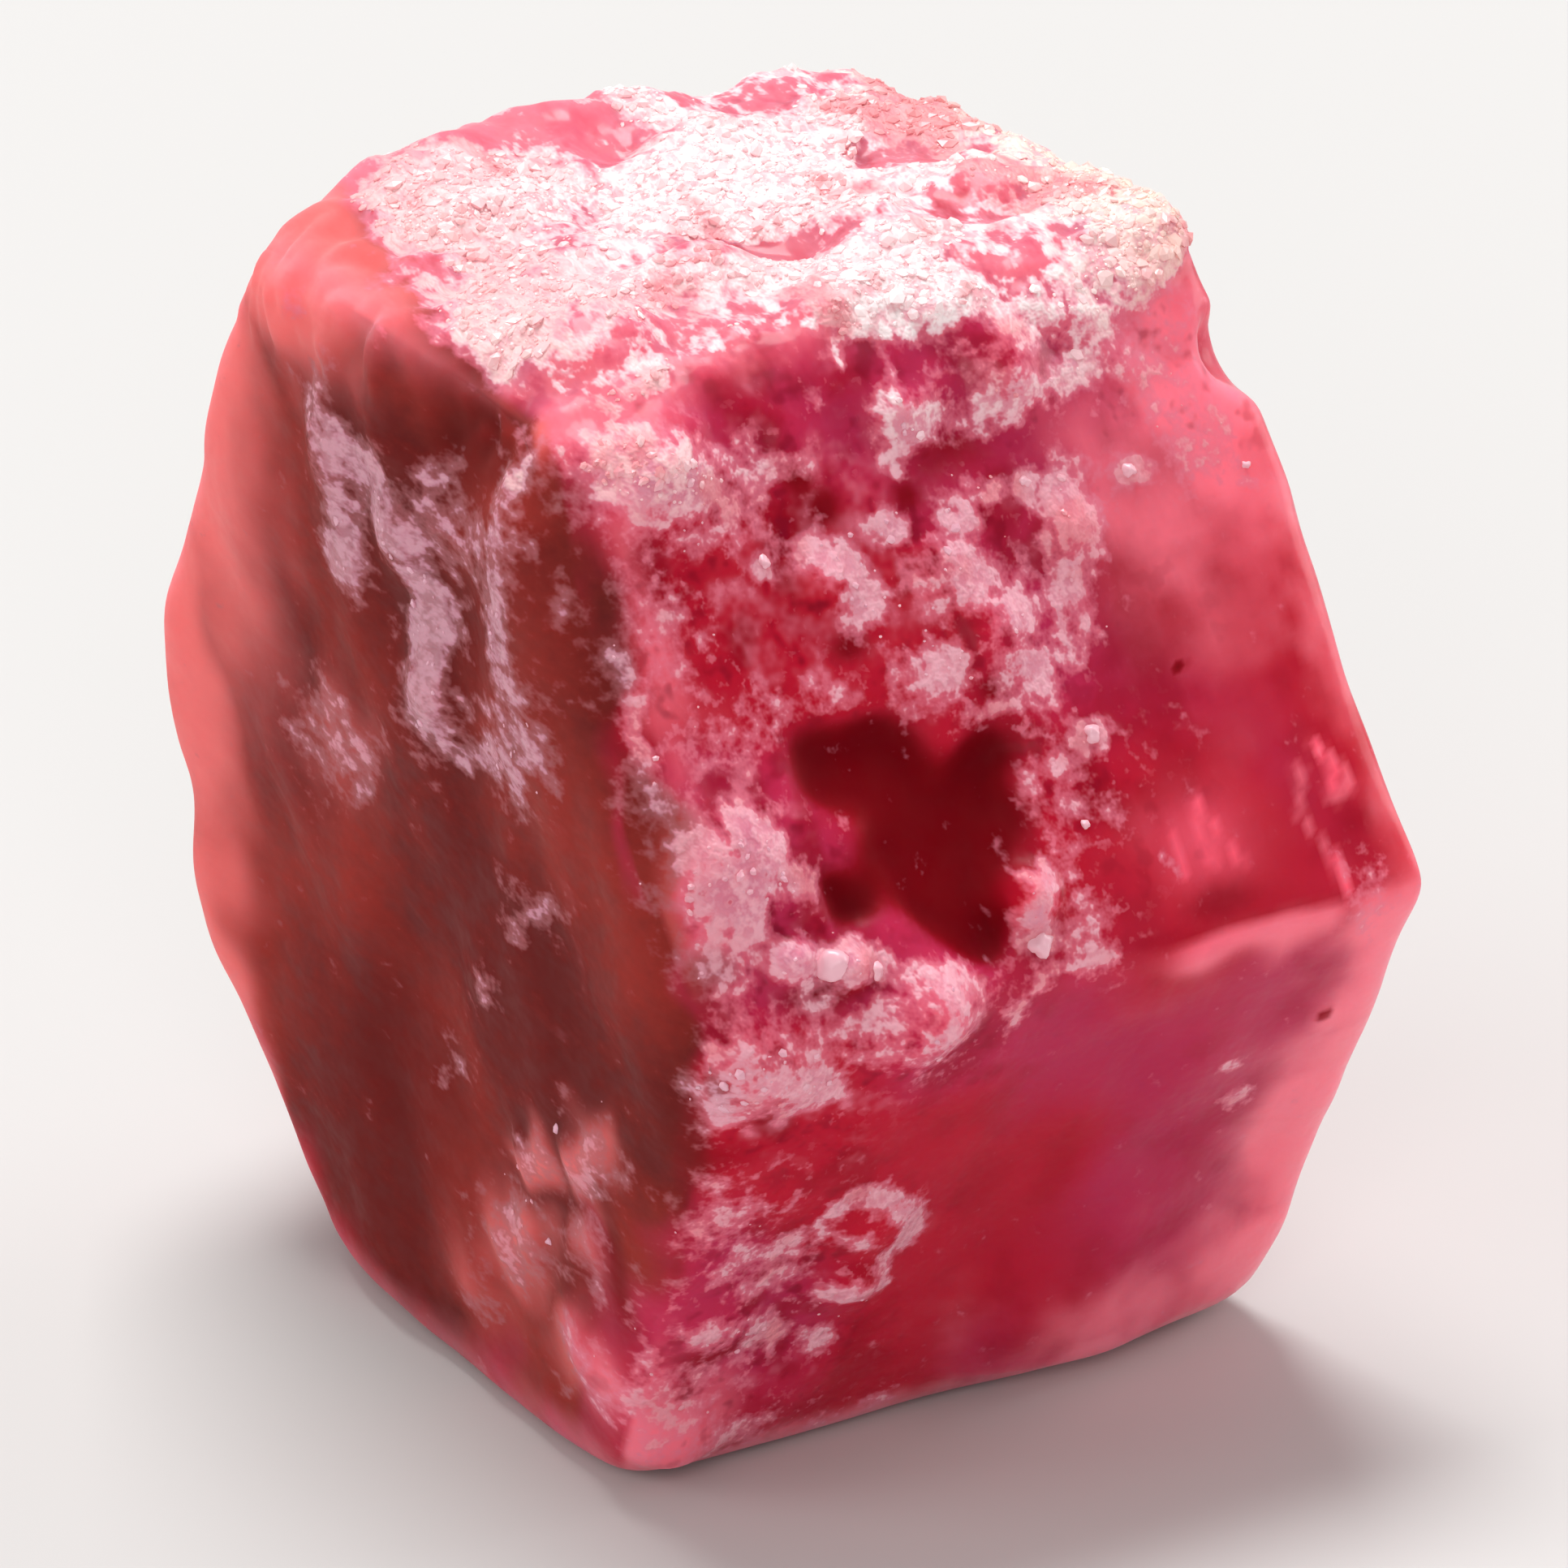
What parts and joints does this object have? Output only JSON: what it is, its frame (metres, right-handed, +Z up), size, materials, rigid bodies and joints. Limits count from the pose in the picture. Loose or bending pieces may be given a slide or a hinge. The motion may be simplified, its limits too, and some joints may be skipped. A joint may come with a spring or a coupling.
{
  "type": "red beryl crystal",
  "caption": "Short thick hexagonal prism of translucent red beryl with worn edges, a pale crust on its top and front and etched hollows, lying on a prism face",
  "frame": {"origin": "On the resting face's plane, under the middle of the crystal's bounding box", "axes": "+X along the crystal's c-axis (its shortest extent), +Y across its width (its longest extent), +Z up from the face it lies on"},
  "size_m": [0.0061, 0.0102, 0.009],
  "materials": {
    "red_beryl": "translucent crimson crystal with a pale pink chalky crust on top and in patches"
  },
  "bodies": {
    "root": {"red_beryl_crystal": "red_beryl"}
  },
  "joints": []
}
